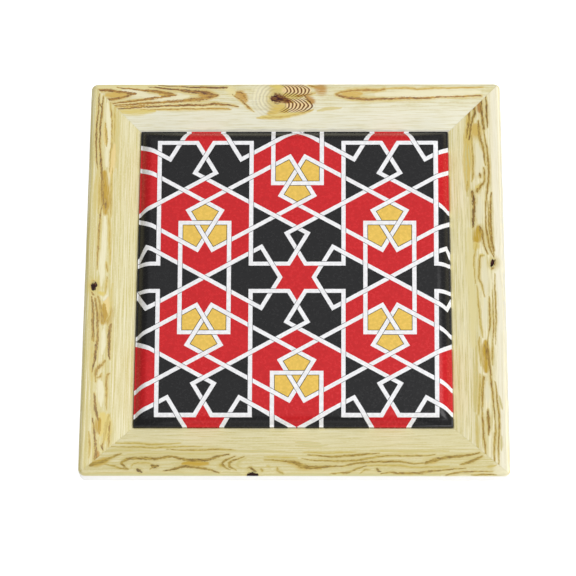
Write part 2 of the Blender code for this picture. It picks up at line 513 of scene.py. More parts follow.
def cut_print(loops):
    """The flat print as triangles, cut along every strap edge, outline and fold of the rolled edge."""
    points, edges = [], []

    def add_run(run, closed):
        first = len(points)
        points.extend(Vector(point) / MM for point in run)
        edges.extend((first + i, first + (i + 1) % len(run)) for i in range(len(run) - 1 + closed))

    half = STRAP_WIDTH / 2
    for loop in loops:
        for distance in (-half - OUTLINE_WIDTH, -half, half, half + OUTLINE_WIDTH):
            add_run(print_to_sheet(offset_loop(loop, distance)), True)
    signs = np.array([(-1, -1), (1, -1), (1, 1), (-1, 1)])
    beyond = [0.0, TILE_LIP_WIDTH + TILE_BEVEL_WIDTH]
    beyond += [TILE_BEVEL_WIDTH * step / BEVEL_RINGS for step in range(1, BEVEL_RINGS + 1)]
    stretch = roll_stretch(signs)
    for length in np.interp(beyond, *roll_lengths()):
        add_run(signs * (FLAT_HALF + length / stretch), True)
    for start, stop in zip(signs * FLAT_HALF, signs * (FLAT_HALF + roll_lengths()[1][-1] / stretch)):
        add_run([start, stop], False)
    verts, _, faces, _, _, _ = delaunay_2d_cdt(points, edges, [], 0, CUT_TOLERANCE)
    sheet = np.array([tuple(vert) for vert in verts]) * MM
    corners = np.array(faces)
    kept = (np.abs(sheet_to_plan(sheet[corners].mean(1))) < TILE_HALF).all(1)
    return sheet, corners[kept]


def make_tile(materials):
    """The tile with its print cut into the mesh, so that every ink has a crisp edge from any side."""
    loops = strap_loops(TILE_HALF.max() / PITCH + 0.5)
    sheet, corners = cut_print(loops)
    ink = inks_at(sheet_to_print(sheet[corners].mean(1)), loops)
    plan = sheet_to_plan(sheet)
    order = list(INKS)
    bm = bmesh.new()
    made, leans = {}, {}
    for index in np.unique(corners):
        height, leans[len(made)] = tile_surface(*plan[index])
        made[index] = bm.verts.new((*plan[index], height))
    top_count = len(made)
    for face, colour in zip(corners, ink):
        bm.faces.new([made[index] for index in face]).material_index = order.index(colour)
    rim = [edge for edge in bm.edges if edge.is_boundary]
    wall = bmesh.ops.extrude_edge_only(bm, edges=rim)["geom"]
    for item in wall:
        if isinstance(item, bmesh.types.BMVert):
            item.co.z = TILE_FOOT
    foot = [edge for edge in bm.edges if edge.is_boundary]
    for face in bmesh.ops.contextual_create(bm, geom=foot)["faces"]:
        face.material_index = 0
    mesh = smooth_mesh("tile", bm)
    normals = []
    for polygon in mesh.polygons:
        on_top = all(index < top_count for index in polygon.vertices)
        normals.extend(leans[index] if on_top else polygon.normal.copy() for index in polygon.vertices)
    mesh.normals_split_custom_set(normals)
    mesh.transform(Matrix.Translation((TILE_OFFSET, 0, 0)))
    return new_piece("tile", mesh, materials)


def rounded_square(half, corner, z):
    """Points round a square with rounded corners, at height z."""
    points = []
    for quarter in range(4):
        turn = quarter * math.pi / 2
        centre = (half - corner) * np.sign([math.cos(turn + math.pi / 4), math.sin(turn + math.pi / 4)])
        for step in range(CORNER_STEPS + 1):
            angle = turn + step / CORNER_STEPS * math.pi / 2
            points.append((centre[0] + corner * math.cos(angle), centre[1] + corner * math.sin(angle), z))
    return points


def loft(name, sections, material):
    """A closed solid through (half-side, corner, z) sections."""
    bm = bmesh.new()
    rings = [[bm.verts.new(point) for point in rounded_square(*section)] for section in sections]
    for lower, upper in zip(rings, rings[1:]):
        for i in range(len(lower)):
            j = (i + 1) % len(lower)
            bm.faces.new((lower[i], lower[j], upper[j], upper[i]))
    bm.faces.new(rings[0])
    bm.faces.new(rings[-1])
    mesh = smooth_mesh(name, bm)
    mesh.set_sharp_from_angle(angle=SHARP_ANGLE)
    return new_piece(name, mesh, [material])


def foot_sections(half, corner, z, foot_round):
    """Sections of a rounded bottom edge, from its foot up to the side."""
    sections = []
    for step in range(ROUND_STEPS + 1):
        angle = step / ROUND_STEPS * math.pi / 2
        inset = foot_round * (1 - math.sin(angle))
        sections.append((half - inset, corner, z + foot_round * (1 - math.cos(angle))))
    return sections


def make_tray(material):
    """The tray, its rim brought up against the strips so that the glue line closes."""
    rim = STRIP_FOOT - HAIR_GAP
    sections = foot_sections(COASTER_HALF, COASTER_CORNER, TRAY_FOOT, TRAY_FOOT_ROUND)
    sections.append((COASTER_HALF, COASTER_CORNER, rim))
    sections.append((POCKET_HALF, POCKET_CORNER, rim - RIM_DROP))
    sections.append((POCKET_HALF, POCKET_CORNER, TRAY_FLOOR_TOP))
    return loft("tray", sections, material)


def make_cork(material):
    sections = foot_sections(CORK_HALF, CORK_CORNER, 0.0, CORK_ROUND)
    sections.append((CORK_HALF, CORK_CORNER, SHEET_FOOT - HAIR_GAP))
    return loft("cork", sections, material)


def make_sheet(material):
    sections = [(SHEET_HALF, CORK_CORNER, SHEET_FOOT), (SHEET_HALF, CORK_CORNER, TRAY_FOOT - HAIR_GAP)]
    return loft("adhesive_film", sections, material)


def strip_profile(width):
    """(inset, height) points up the outside and across the top to the inner foot."""
    fall = RIM_DROP / width
    side_top = STRIP_THICKNESS - STRIP_ROUND
    rise = STRIP_ROUND * (1 - fall)
    points = [(0.0, 0.0)]
    for step in range(ROUND_STEPS + 1):
        angle = step / ROUND_STEPS * math.pi / 2
        points.append((STRIP_ROUND * (1 - math.cos(angle)), side_top + rise * math.sin(angle)))
    eased = width - STRIP_EASE
    for inset in np.linspace(STRIP_ROUND, eased, round((eased - STRIP_ROUND) / ROW_STEP))[1:]:
        points.append((inset, STRIP_THICKNESS - fall * inset))
    points.append((width, STRIP_THICKNESS - RIM_DROP - STRIP_EASE))
    points.append((width, -RIM_DROP))
    return points


def front_path(left, right, out, corner):
    """Points along the front of a rounded rectangle, from its left mitre to its right one."""
    left, right = corner - left, right - corner
    arc = corner * math.pi / 4
    total = right - left + 2 * arc
    points = []
    for at in np.linspace(0, total, COLUMNS + 1):
        if at < arc:
            angle = LEFT_MITRE + at / corner
            points.append((left + corner * math.cos(angle), corner - out + corner * math.sin(angle)))
        elif at > total - arc:
            angle = RIGHT_MITRE - (total - at) / corner
            points.append((right + corner * math.cos(angle), corner - out + corner * math.sin(angle)))
        else:
            points.append((left + at - arc, -out))
    return points


def line(tone, width, *points):
    """A grain line through points; width is one number or several along it, and a higher tone is darker."""
    return "line", tone, width, points


def stain_and_shade(tone, width, *points):
    """A soft mark along points: a stain, and at tone 0.03 painted shade; the tone picks its colour from
    STAIN_AND_SHADE_TONES.
    """
    return "stain_and_shade", tone, width, points


# What is drawn on each strip, at (x or y along it, inset from its outside), in millimetres
BACK_FIGURE = [
    # Painted shade: a soft grey band along the back strip's inner edge, where the tile stands above it
    stain_and_shade(0.03, 0.5, (-39, 11.85), (0, 11.85), (39, 11.85)),
    stain_and_shade(0.0, 0.9, (-42, 1.9), (-36, 2.9)),
    stain_and_shade(0.0, 0.9, (-37, 3.3), (-30, 3.9), (-26, 3.2)),
    stain_and_shade(0.0, 1.0, (20, 2.9), (32, 2.7), (45, 2.3)),
    stain_and_shade(0.0, 1.4, (-10, 3.5), (-8, 2.0), (-8, 5.5)),
    line(0.5, (0.5, 0.45, 0.3), (-48.6, 1.75), (-46.5, 1.75), (-44, 2.0), (-41, 2.4), (-38.9, 2.65)),
    line(0.5, (0.5, 0.4, 0.3), (-45.9, 4.05), (-44, 3.9), (-42, 3.5), (-40.3, 3.0), (-38.9, 2.65)),
    stain_and_shade(0.3, 0.8, (-46, 2.9), (-43, 2.9), (-40.6, 2.75)),
    line(0.5, (0.15, 0.3, 0.5, 0.35), (-43.5, 1.1), (-38.5, 1.65), (-35.5, 1.9), (-32, 2.4), (-29.2, 3.0)),
    line(0.45, (0.2, 0.3, 0.4, 0.35), (-45, 5.1), (-41, 4.6), (-37, 4.15), (-33.5, 3.6), (-29.2, 3.0)),
    stain_and_shade(0.3, 0.6, (-33, 2.75), (-30.2, 2.95)),
    line(
        0.6, (0.15, 0.3, 0.55, 0.6, 0.3),
        (-36, 0.95), (-30, 1.55), (-25.5, 2.1), (-21.5, 2.5), (-18.9, 3.1),
    ),
    line(
        0.45, (0.2, 0.35, 0.45, 0.6, 0.3),
        (-44.5, 5.55), (-37.5, 5.05), (-29, 4.5), (-23.5, 4.0), (-18.9, 3.1),
    ),
    stain_and_shade(0.45, 0.9, (-23.0, 3.0), (-21.5, 3.0), (-19.6, 3.05)),
    line(0.7, (0.1, 0.3, 0.3), (-33.5, 0.6), (-26, 1.05), (-22, 1.15), (-16.7, 1.2)),
    line(
        0.55, 0.4,
        (-43.5, 6.4), (-34, 5.75), (-25, 5.45), (-21.5, 5.4), (-19.5, 5.15), (-16, 5.4), (-13.8, 5.9),
    ),
    line(0.3, 0.28, (-38, 6.6), (-28, 6.4), (-18, 6.3), (-15.6, 6.6)),
    line(0.3, 0.25, (-44.8, 5.9), (-40, 5.75), (-33, 5.3)),
    stain_and_shade(0.12, 0.8, (-43, 7.05), (-39, 7.0), (-34, 6.8)),
    stain_and_shade(0.05, 0.9, (-44, 5.6), (-34, 5.6), (-20, 5.9)),
    stain_and_shade(0.05, 1.0, (-48, 0.9), (-40, 0.9), (-33, 0.8)),
    stain_and_shade(0.05, 0.9, (-16.7, 1.6), (-14.6, 2.5)),
    stain_and_shade(0.46, 0.9, (-14.2, 2.7), (-12.9, 3.1), (-12.1, 4.4)),
    line(0.5, 0.28, (-14.6, 2.25), (-12.9, 2.4), (-12.3, 3.3), (-11.6, 4.4)),
    line(0.45, 0.28, (-15.2, 2.7), (-13.4, 4.1), (-11.2, 6.0), (-9.9, 7.1)),
    line(0.87, (0.8, 1.6, 1.2, 0.5), (-5.4, 3.95), (-4.3, 3.8), (-3.2, 3.95), (-1.8, 4.35)),
    stain_and_shade(0.7, 0.9, (-5.4, 3.9), (-3.2, 4.0), (-0.6, 4.8)),
    stain_and_shade(0.08, 1.6, (-2.4, 1.7), (0.5, 1.7), (3.2, 1.8)),
    stain_and_shade(0.08, 1.6, (-1.8, 5.6), (0.6, 5.5), (3.4, 5.4)),
    stain_and_shade(0.22, 1.5, (-6.2, 7.7), (-3.6, 6.7), (-1.6, 6.7)),
    stain_and_shade(0.12, 0.7, (-8.3, 8.35), (-4.5, 8.1), (1.0, 7.4)),
    stain_and_shade(0.15, 0.9, (-2.4, 3.1), (1.4, 3.4)),
    stain_and_shade(0.12, 0.6, (-6, 0.9), (-2.6, 0.9)),
    line(0.2, 0.3, (-9.3, 8.55), (-6, 8.5), (-2, 8.15), (2.5, 7.2), (4.5, 6.5)),
    line(0.35, 0.3, (0.3, 3.35), (2.4, 2.95), (5.2, 2.65)),
    line(0.45, 0.3, (3.2, 0.4), (4.4, 0.9), (5.3, 1.1)),
    stain_and_shade(0.5, 1.15, (5.2, 1.2), (6.5, 1.5), (6.3, 2.2)),
    stain_and_shade(0.5, 0.7, (2.9, 3.4), (4.1, 4.3), (4.5, 5.0)),
    line(0.6, 0.3, (2.4, 3.1), (3.2, 4.0), (4.3, 5.2)),
    line(0.05, 0.25, (5.5, 6.9), (8, 6.4), (11.5, 6.1)),
    stain_and_shade(0.3, 0.95, (11.8, 2.85), (14, 2.85), (16.3, 2.75)),
    line(0.35, (0.2, 0.4, 0.35), (9.9, 2.8), (12, 2.25), (14, 1.9), (18.5, 1.8), (20.5, 1.85), (22, 1.55)),
    line(0.25, 0.28, (22, 1.55), (26, 1.3), (29, 1.5), (30, 1.7), (31.5, 1.5), (36, 1.35), (46, 1.2)),
    line(0.5, (0.3, 0.5, 0.42, 0.4), (10.2, 3.0), (13, 3.6), (17, 4.0), (20, 4.0), (25, 3.85), (31, 3.8)),
    line(0.45, (0.4, 0.25, 0.25), (31, 3.8), (33.5, 3.7), (35.5, 3.45), (38, 3.5), (41, 3.35), (45.6, 3.25)),
]

FRONT_FIGURE = [
    stain_and_shade(0.0, 1.3, (46.8, 2.3), (49.5, 0.4)),
    stain_and_shade(0.34, 0.8, (-46.6, 2.6), (-44.6, 3.1), (-42.6, 4.2)),
    line(0.38, (0.6, 0.5, 0.2), (-46.8, 2.5), (-44, 3.3), (-42, 4.5), (-39.7, 5.4)),
    line(0.3, 0.3, (-43.5, 2.6), (-41.5, 2.2), (-39.8, 1.6), (-38.3, 1.2)),
    line(
        0.42, (0.25, 0.5, 0.5),
        (-38.2, 1.4), (-39.4, 2.4), (-39.6, 3.1), (-38.2, 4.0), (-36.5, 4.2), (-32, 4.1),
    ),
    line(0.42, (0.5, 0.4, 0.6), (-32, 4.1), (-29.5, 4.5), (-27.8, 4.65), (-26, 4.1), (-23.5, 3.7)),
    line(0.47, (0.6, 0.5, 0.25), (-23.5, 3.7), (-20.2, 3.75), (-18.2, 4.4), (-16.5, 4.9), (-15, 5.3)),
    line(0.21, 0.28, (-37.4, 1.6), (-37.2, 2.5), (-36, 3.0), (-33.4, 2.95), (-32.3, 2.5)),
    line(0.64, 0.55, (-36.2, 1.4), (-35.6, 1.0), (-35.0, 0.6)),
    line(0.55, 0.6, (-32.7, 2.4), (-31.9, 2.0), (-31.1, 2.2)),
    line(0.26, 0.25, (-32.9, 1.3), (-32.3, 2.0)),
    line(0.51, (0.2, 0.45, 0.45), (-29.8, 0.9), (-28, 1.3), (-26, 1.9), (-24, 2.1)),
    line(0.42, (0.45, 0.45, 0.2), (-24, 2.1), (-21.5, 1.7), (-19.5, 1.3), (-17, 0.5)),
    stain_and_shade(0.34, 0.8, (-25.4, 2.8), (-22.5, 2.9), (-19.8, 2.8)),
    line(0.38, 0.4, (-14.6, 1.2), (-16.0, 2.1), (-16.2, 3.0), (-15.2, 3.9), (-13.4, 4.8)),
    line(0.42, 0.42, (-13.1, 1.1), (-14.4, 1.9), (-14.7, 2.7), (-13.8, 3.7), (-11.4, 4.6)),
    line(0.09, 0.25, (-11.6, 1.5), (-12.8, 2.5), (-12.2, 3.6), (-10.8, 4.3)),
    line(0.21, 0.5, (-16.9, 2.1), (-16.6, 2.8)),
    line(1.6, (0.2, 0.65, 0.65, 0.2), (-10.6, 0.1), (-9.7, 0.2), (-8.8, 0.2), (-7.9, 0.1)),
    line(0.47, 0.35, (-10.6, 1.7), (-9.8, 1.85), (-9.1, 1.25), (-8.4, 0.8)),
    line(0.3, 0.35, (-7.0, 0.7), (-7.5, 1.6)),
    line(0.3, 0.4, (-3.7, 2.0), (-3.4, 0.9), (-2.2, 0.3)),
    line(0.13, 0.3, (-6.1, 2.3), (-5.2, 1.9)),
    line(0.3, (0.2, 0.3, 0.45), (-6.6, 3.85), (-4, 3.7), (-1.9, 3.5)),
    line(0.42, (0.45, 0.6, 0.8, 0.65, 0.35), (-1.9, 3.5), (0.4, 3.1), (2.3, 2.05), (5, 1.9), (10, 2.2)),
    stain_and_shade(0.25, 0.6, (-1.2, 3.2), (0.6, 2.9), (2.6, 1.8), (6.5, 1.7)),
    line(0.38, 0.38, (10, 2.2), (12, 2.3), (15, 3.0), (19, 3.3), (24, 3.4), (28, 2.9), (31, 3.0)),
    line(0.51, 0.35, (20, 3.3), (22.3, 3.4), (25.5, 3.25)),
    line(0.13, 0.28, (-6.5, 4.6), (-3, 4.5), (1, 4.35)),
    line(0.34, 0.35, (2, 4.2), (5, 3.7), (9, 3.6), (13.4, 3.55), (18, 4.3), (21, 4.9), (30, 4.9), (33, 5.3)),
    line(0.38, 0.38, (3.5, 5.2), (8, 4.7), (12, 4.85), (17, 5.3), (20, 5.6)),
    line(0.17, 0.28, (2.5, 5.9), (7, 5.6), (11, 5.75), (14.5, 5.9)),
    line(0.04, 0.22, (-15.5, 6.1), (-9, 6.1), (-2, 6.1)),
    line(0.02, 0.2, (0.5, 7.6), (4.6, 7.4), (8, 7.7)),
    line(0.02, 0.2, (0.5, 8.4), (6.5, 8.2)),
    line(0.26, 0.28, (-43.5, 7.2), (-36, 7.15), (-32.5, 6.95), (-28, 7.2), (-21, 7.3)),
    line(0.21, 0.28, (-42, 8.15), (-36, 8.1), (-32, 7.8), (-26, 8.2)),
    line(0.3, 0.3, (-29.5, 6.6), (-23, 6.3), (-17, 6.6), (-13, 6.3)),
    line(0.09, 0.25, (-38.5, 5.3), (-31, 5.5), (-22, 5.4), (-16, 5.7)),
    line(0.09, 0.25, (-44, 6.0), (-40, 6.3), (-33, 6.3)),
    line(0.42, 0.4, (20.3, 0.3), (22.8, 0.7), (24.6, 0.45), (28, 0.5), (32, 0.9), (35, 1.25), (40, 1.7)),
    line(0.55, 0.4, (20.4, 0.7), (19.6, 1.2), (19.4, 1.7)),
    line(0.26, 0.3, (15.5, 0.4), (16.6, 1.3), (17.8, 1.3)),
    line(0.38, 0.35, (8.5, 0.3), (11.5, 0.5), (13.5, 0.9), (15.4, 1.8), (17, 2.3)),
    line(0.21, 0.32, (17, 2.3), (21, 2.4), (25, 2.3), (28, 1.95), (36, 2.1)),
    line(0.42, (0.6, 0.5, 0.3), (30.8, 3.1), (33.5, 4.0), (37, 4.7), (40, 5.0), (43.2, 5.7)),
    stain_and_shade(0.3, 0.5, (31, 3.2), (33.6, 4.0)),
    line(0.42, (0.2, 0.6, 0.25), (38.7, 2.6), (41.2, 3.5), (43.9, 4.9)),
    line(0.42, 0.3, (35.2, 0.15), (37, 0.45), (39.5, 0.8), (46, 0.85)),
    line(0.38, 0.2, (41, 0.15), (47, 0.25)),
    line(0.09, 0.25, (18, 6.25), (26, 6.05), (36, 6.2)),
    line(0.17, 0.3, (44.6, 2.0), (47.0, 2.5)),
    line(0.03, 0.3, (-48.4, 0.15), (-30, 0.1), (-12, 0.12)),
    line(0.03, 0.3, (-6, 0.1), (10, 0.12), (34, 0.1)),
]

LEFT_FIGURE = [
    stain_and_shade(0.0, 0.6, (45, 4.3), (38, 4.8), (28, 4.5)),
    stain_and_shade(0.0, 0.6, (15, 4.6), (8, 4.6), (2, 4.3), (-3, 4.3)),
    stain_and_shade(0.0, 0.5, (-6.5, 4.9), (-5.6, 5.6)),
    stain_and_shade(0.0, 0.55, (-14, 5.2), (-20, 5.0)),
    stain_and_shade(0.0, 0.55, (-27, 5.0), (-33, 5.2)),
    line(0.52, 0.32, (47.3, 2.25), (43, 2.15), (37, 1.85), (31, 2.05), (27.4, 2.5)),
    line(0.52, (0.2, 0.36, 0.3, 0.4), (46.8, 3.2), (43.3, 3.05), (38, 2.7), (32, 2.9), (27, 3.4)),
    line(0.44, (0.4, 0.5, 0.5), (27, 3.4), (22, 3.8), (18.5, 4.0)),
    line(0.56, 0.28, (44.8, 2.35), (43.4, 3.0)),
    line(0.28, 0.45, (33.4, 4.4), (36.2, 4.25), (39.5, 3.95)),
    stain_and_shade(0.1, 0.5, (34, 4.2), (39, 3.9)),
    line(0.28, 0.28, (46, 4.9), (42, 5.3), (36, 5.6), (31, 5.4), (26.5, 5.3)),
    line(0.44, 0.28, (43, 5.3), (41, 5.35)),
    line(0.2, 0.25, (44.4, 6.1), (40, 6.15), (34.5, 6.2)),
    line(0.08, 0.25, (43.2, 6.9), (36, 6.8), (28, 6.9)),
    stain_and_shade(0.1, 0.6, (34, 6.2), (30, 5.95), (25.5, 5.6)),
    stain_and_shade(0.38, 1.2, (26.5, 4.1), (20.5, 4.4), (15.8, 4.8)),
    line(0.44, 0.45, (19.5, 4.6), (16.6, 4.7)),
    line(0.24, 0.28, (28, 5.95), (21, 5.8), (14.5, 5.95)),
    line(0.12, 0.28, (27, 2.55), (22, 2.15), (15, 2.2)),
    line(0.2, 0.28, (25, 2.9), (20, 3.0), (15.5, 3.0)),
    line(0.4, 0.35, (18.5, 4.0), (15.6, 3.5), (11, 3.3), (6, 3.2), (1, 3.1)),
    line(0.2, 0.3, (16, 5.3), (13.2, 5.65), (8, 5.9), (2.6, 6.2)),
    line(0.24, 0.32, (3.4, 5.2), (2, 5.4), (0.8, 5.6)),
    line(0.24, 0.32, (-0.4, 5.5), (-2.6, 5.45), (-4.9, 5.25)),
    stain_and_shade(0.12, 0.45, (-4.6, 3.7), (-5, 4.6), (-4.7, 5.2)),
    line(1.1, 0.75, (-3.1, 2.95), (-2.3, 2.8)),
    line(1.6, (0.7, 1.0, 0.7), (-3.8, 2.4), (-3.3, 2.45), (-2.8, 2.6)),
    line(0.2, 0.25, (-4.7, 2.0), (-3.2, 1.7), (-1.8, 2.0), (-1.5, 2.8)),
    line(0.48, 0.35, (-5.6, 2.7), (-4.9, 2.1)),
    line(0.48, (0.25, 0.5, 0.4), (-6, 2.1), (-8, 2.4), (-12, 2.6), (-17, 2.8)),
    line(0.44, (0.35, 0.35, 0.5), (-6.3, 3.0), (-9, 3.35), (-13.5, 3.75), (-18, 3.65)),
    line(0.52, (0.5, 0.45, 0.2), (-18, 3.65), (-21, 3.35), (-24.6, 2.8)),
    line(0.36, (0.25, 0.4, 0.45), (-5.5, 3.5), (-7, 4.0), (-9.5, 4.5), (-12.1, 4.95)),
    stain_and_shade(0.39, 1.5, (-12.2, 5.0), (-10, 5.4), (-7.6, 5.3)),
    stain_and_shade(0.1, 0.9, (-10, 6.2), (-7.5, 5.6), (-6, 5.8)),
    line(0.52, 0.5, (-12.4, 6.9), (-13.2, 6.6), (-18.5, 6.45), (-21.3, 6.8)),
    line(0.12, 0.25, (-11.8, 5.6), (-9, 6.45), (-2, 6.85)),
    line(0.12, 0.4, (-16, 2.7), (-21, 2.6), (-27, 2.75)),
    line(0.36, 0.5, (-21.6, 5.7), (-22.8, 5.0), (-23.7, 4.1), (-25, 3.65), (-27, 3.7)),
    line(0.36, 0.35, (-25.1, 5.0), (-25.9, 4.6), (-26.0, 4.0)),
    line(0.32, 0.35, (-24.7, 6.9), (-25.6, 6.3), (-29, 6.2), (-33.8, 6.4)),
    line(0.52, 0.5, (-30, 3.5), (-33.8, 3.85), (-36.5, 4.6)),
    stain_and_shade(0.38, 1.05, (-39.6, 5.0), (-36.2, 4.9)),
    stain_and_shade(0.5, 0.6, (-46.4, 4.5), (-44.2, 4.6)),
    stain_and_shade(0.12, 0.8, (-40, 5.2), (-36, 5.8), (-35, 5.2)),
    line(0.48, (0.2, 0.4, 0.5), (-36, 3.3), (-39, 3.65), (-42.5, 4.2), (-46.2, 4.25)),
    line(0.28, 0.28, (-39.5, 2.6), (-42.5, 2.8), (-46, 2.7)),
    line(0.48, 0.35, (-42.0, 5.9), (-42.9, 5.6), (-43.8, 6.0)),
    line(0.2, 0.6, (-42, 5.9), (-39, 6.3), (-35, 7.0)),
    line(0.36, 0.4, (-42.9, 7.1), (-40, 7.15), (-36.6, 7.3)),
    stain_and_shade(0.12, 0.9, (-41, 6.6), (-38, 6.7), (-35.2, 6.7)),
]

RIGHT_FIGURE = [
    # A grey band along the right strip's very outer edge
    stain_and_shade(0.02, 0.6, (48.6, -0.25), (0, -0.25), (-48.6, -0.25)),
    stain_and_shade(0.0, 0.75, (34, 5.6), (30, 5.2), (26, 5.8)),
    stain_and_shade(0.0, 0.7, (20, 5.4), (16.5, 5.5), (13.5, 5.6)),
    stain_and_shade(0.0, 0.6, (4, 4.6), (0, 4.6), (-5, 4.3)),
    stain_and_shade(0.0, 0.5, (-6, 4.7), (-14, 4.8)),
    stain_and_shade(0.0, 0.55, (-27, 4.7), (-32, 4.6)),
    line(0.5, 0.32, (47.2, 3.3), (44, 3.25), (41.5, 3.2), (38.3, 3.1)),
    line(0.5, (0.42, 0.42, 0.34), (46.4, 4.6), (43, 4.45), (40.5, 4.2), (38, 4.1)),
    line(0.4, 0.34, (38, 4.1), (32.5, 3.4), (29, 3.15), (24.5, 3.15), (21, 3.65), (16, 4.1)),
    stain_and_shade(0.55, 0.6, (45.4, 4.95), (42.6, 4.95)),
    line(0.5, (0.42, 0.42, 0.26), (44.6, 6.15), (42.3, 6.2), (40.2, 6.85), (35.5, 7.6)),
    line(0.43, (0.34, 0.42, 0.21), (43.3, 7.35), (40.4, 7.55), (36, 8.2)),
    line(0.4, (0.21, 0.47, 0.42, 0.17), (40.2, 5.2), (36.4, 5.15), (33.8, 4.45), (28.4, 3.8)),
    stain_and_shade(0.25, 1.4, (39.2, 6.0), (37.4, 6.0), (36.4, 6.0)),
    stain_and_shade(0.2, 0.9, (42.4, 7.5), (36, 7.9), (29, 8.1), (23, 8.2)),
    line(0.29, 0.26, (36.5, 7.0), (30, 6.75), (25.6, 6.85), (24.2, 7.3)),
    line(0.4, (0.21, 0.34, 0.47), (27.6, 4.2), (24.2, 4.15), (23.1, 5.0), (21.7, 6.0)),
    stain_and_shade(0.12, 0.5, (23.4, 5.2), (22.4, 6.0)),
    line(0.47, 0.38, (25.1, 5.2), (25.7, 5.2), (26.3, 5.35)),
    line(0.58, (0.34, 0.59, 0.47, 0.26), (21.7, 7.1), (18.6, 6.8), (14.5, 6.95), (12.2, 7.15)),
    line(0.25, 0.34, (24.6, 8.15), (23, 8.3), (21.6, 8.3)),
    line(0.06, 0.3, (35, 8.3), (30, 8.4), (20.5, 8.2)),
    line(0.06, 0.26, (34, 7.7), (28, 7.6)),
    line(0.43, (0.17, 0.38, 0.34, 0.17), (21, 2.6), (16, 2.95), (10, 2.85), (5.8, 2.3)),
    line(0.4, 0.32, (16, 4.1), (11, 3.9), (7, 3.3), (4.2, 2.4)),
    line(0.43, (0.59, 0.38, 0.17), (12.2, 5.5), (10.5, 5.0), (8, 4.7), (5.3, 3.8)),
    stain_and_shade(0.36, 1.05, (12.2, 5.8), (10, 6.0), (8.2, 6.5)),
    stain_and_shade(0.15, 0.8, (8.6, 6.5), (6.6, 6.6)),
    line(0.22, 0.27, (8, 6.4), (5, 6.9), (2.5, 7.1), (-2, 6.8)),
    line(1.3, (0.6, 0.9, 0.6), (3.2, 2.6), (2.7, 2.65), (2.2, 2.9)),
    line(0.4, 0.27, (1.5, 2.3), (1.1, 3.0)),
    line(0.29, 0.17, (1.7, 2.15), (3.6, 2.05)),
    line(0.29, 0.3, (4.9, 4.6), (4.6, 5.6), (2, 5.85), (-0.8, 5.95), (-2.6, 5.4), (-5.6, 4.75)),
    stain_and_shade(0.12, 0.4, (5.1, 5.0), (4.8, 5.6)),
    line(0.36, 0.28, (-5.6, 3.7), (-8.5, 3.7), (-12, 3.65), (-15.8, 4.15)),
    line(0.34, 0.2, (-4, 2.95), (-11, 2.85), (-14.5, 2.9), (-17.6, 3.25)),
    line(0.36, 0.2, (0, 2.3), (-5, 2.3), (-11, 2.25), (-18, 2.55)),
    line(0.34, 0.2, (19, 3.4), (13, 3.4), (8, 2.9), (4.8, 2.3)),
    line(0.22, 0.26, (-2.5, 6.55), (-8, 6.2), (-13, 5.8), (-16, 5.4)),
    stain_and_shade(0.05, 1.1, (12, 8.0), (2, 7.9), (-8, 7.6), (-18, 7.7)),
    stain_and_shade(0.36, 0.9, (-16.9, 4.9), (-20, 4.85), (-24.6, 4.9)),
    line(0.43, 0.3, (-17.5, 5.0), (-20.2, 4.7), (-22, 4.6)),
    line(0.4, 0.32, (-15.8, 4.15), (-18, 4.45), (-22, 4.1), (-28, 3.65), (-33, 3.3), (-37, 3.05)),
    line(0.32, 0.29, (-37, 3.05), (-39, 2.95), (-41, 3.3), (-44, 3.45), (-47.6, 3.5)),
    line(0.29, 0.24, (-17, 3.2), (-20, 3.3), (-23, 3.35)),
    line(0.36, 0.27, (-27, 2.85), (-31, 2.5), (-37, 2.1), (-42, 2.4), (-48.4, 2.55)),
    line(0.47, (0.17, 0.47, 0.42, 0.17), (-33.8, 4.6), (-36, 4.65), (-38, 4.5), (-40, 4.6)),
    line(0.36, (0.34, 0.36, 0.26), (-25.8, 5.5), (-29, 5.75), (-33, 6.0)),
    line(0.36, 0.32, (-33, 6.0), (-36, 5.95), (-38.5, 5.85), (-42, 5.6), (-45.4, 5.4)),
    line(0.2, 0.34, (-25, 6.3), (-29, 6.4), (-32.5, 6.7), (-35, 6.85)),
    line(0.22, 0.24, (-15.8, 6.25), (-18, 6.3), (-23, 6.0)),
    line(0.09, 0.34, (-18, 7.0), (-26, 7.1), (-30, 7.4), (-34, 7.6)),
    line(0.11, 0.3, (-43.5, 7.1), (-40, 7.3), (-35, 7.2)),
    line(0.06, 0.19, (-44, 1.75), (-40.5, 1.7)),
    line(0.06, 0.19, (-34, 1.4), (-30.6, 1.95)),
]
FIGURES = {"front": FRONT_FIGURE, "right": RIGHT_FIGURE, "back": BACK_FIGURE, "left": LEFT_FIGURE}


def fade(value, over=1.0):
    """0 where the value is negative, rising to 1 over a distance."""
    return np.clip(value / over, 0, 1)


def knot_rings(at):
    """(phase, depth) of the fine rings that fan out beside the back strip's knot."""
    along, inset = at.T
    middle, spacing, reach, first = np.where((inset < FAN_SEAM)[:, None], UPPER_FAN, LOWER_FAN).T
    past = along - KNOT[0]
    bowed = past + FAN_BOW * (inset - middle) ** 2
    fan = fade(bowed - FAN_START) * fade(reach - bowed, FAN_END_FADE) * fade(past, FAN_END_FADE)
    fan *= fade(FAN_HALF_HEIGHT - np.abs(inset - middle), FAN_SIDE_FADE)
    away = np.hypot(past, RING_SQUASH * (inset - KNOT[1]))
    faint = fade(away - RING_START) * fade(RING_REACH - away, RING_END_FADE) * fade(-past, RING_SIDE_FADE)
    phase = np.where(past < 0, away / RING_SPACING, (bowed - first) / spacing)
    return 2 * math.pi * phase, np.where(past < 0, RING_DEPTH * faint, fan)


